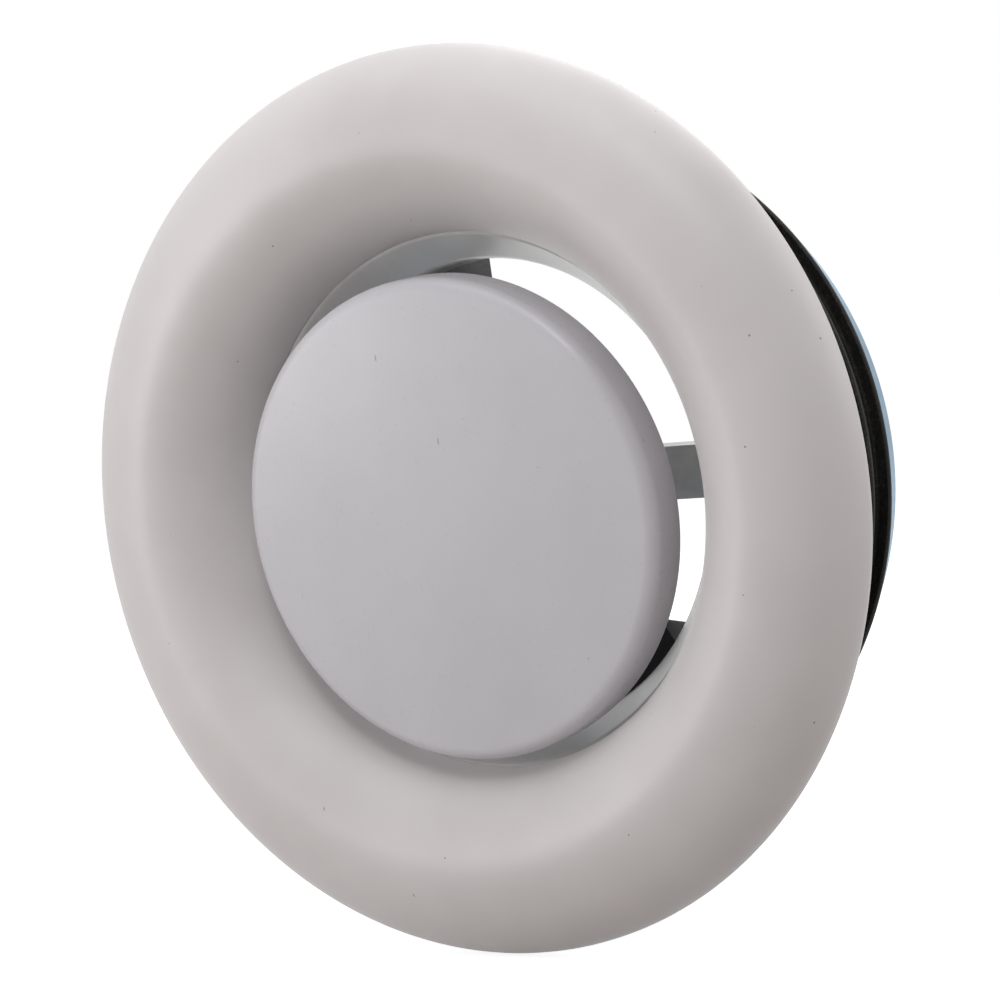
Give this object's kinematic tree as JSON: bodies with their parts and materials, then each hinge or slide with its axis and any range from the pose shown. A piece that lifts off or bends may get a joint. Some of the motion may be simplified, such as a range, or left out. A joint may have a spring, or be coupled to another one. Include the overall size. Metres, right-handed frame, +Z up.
{
  "type": "extract air valve",
  "caption": "Round wall or ceiling extract air valve: bull-nose ring, screw-adjusted central disc on a cross bar, and a duct collar with a rubber lip seal.",
  "frame": {"origin": "centre of the collar flange's back face, on the wall plane", "axes": "+Y along the valve's axis into the duct, so the valve faces -Y; +X along the cross bar; +Z up"},
  "size_m": [0.164, 0.0692, 0.164],
  "materials": {
    "ring_coat": "satin powder coat on steel, warm light grey white",
    "disc_coat": "satin powder coat on steel, slightly cooler white",
    "sleeve_coat": "glossy light grey coat on steel",
    "collar_zinc": "zinc plated, blue passivated",
    "bar_zinc": "zinc plated strip",
    "dish_zinc": "zinc plated sheet",
    "fixing_zinc": "bright zinc plated steel",
    "spring_steel": "phosphated spring steel",
    "seal_rubber": "matt black rubber",
    "foam": "closed cell foam, dark grey",
    "clip_plastic": "black moulded plastic"
  },
  "bodies": {
    "valve_body": {"valve_ring": "ring_coat", "neck_sleeve": "sleeve_coat", "ring_foam": "foam", "mounting_collar": "collar_zinc", "duct_seal": "seal_rubber", "cross_bar": "bar_zinc", "bar_rivets": "fixing_zinc", "spindle_bush": "fixing_zinc", "retaining_clip_lower": "clip_plastic", "retaining_clip_upper": "clip_plastic", "clip_rivets": "fixing_zinc"},
    "spindle_carriage": {"hub_washer": "fixing_zinc"},
    "disc_and_spindle": {"spindle": "fixing_zinc", "valve_disc": "disc_coat", "disc_dish": "dish_zinc", "hub_nut": "fixing_zinc", "stop_washer": "fixing_zinc", "stop_clip": "spring_steel"},
    "lock_washer": {"lock_washer": "fixing_zinc"},
    "lock_nut": {"lock_nut": "fixing_zinc"}
  },
  "joints": [
    {"name": "disc_travel", "type": "slide", "parent": "valve_body", "child": "spindle_carriage", "axis": [0, -0.9983, -0.0576], "range_m": [-0.0032, 0.008]},
    {"name": "disc_turn", "type": "hinge", "parent": "spindle_carriage", "child": "disc_and_spindle", "pos_m": [0, 0.00006, -0.00203], "axis": [0, -0.9983, -0.0576], "range_deg": [-921.6, 2304]},
    {"name": "lock_travel", "type": "slide", "parent": "valve_body", "child": "lock_washer", "axis": [0, -0.9983, -0.0576], "range_m": [0, 0.004]},
    {"name": "lock_turn", "type": "hinge", "parent": "lock_washer", "child": "lock_nut", "pos_m": [0, 0.02801, -0.00042], "axis": [0, -0.9983, -0.0576], "range_deg": [0, 1152]}
  ],
  "couplings": [
    {"joint": "disc_turn", "follows": "disc_travel", "rad_per_m": 5026.5},
    {"joint": "lock_turn", "follows": "lock_travel", "rad_per_m": 5026.5}
  ]
}
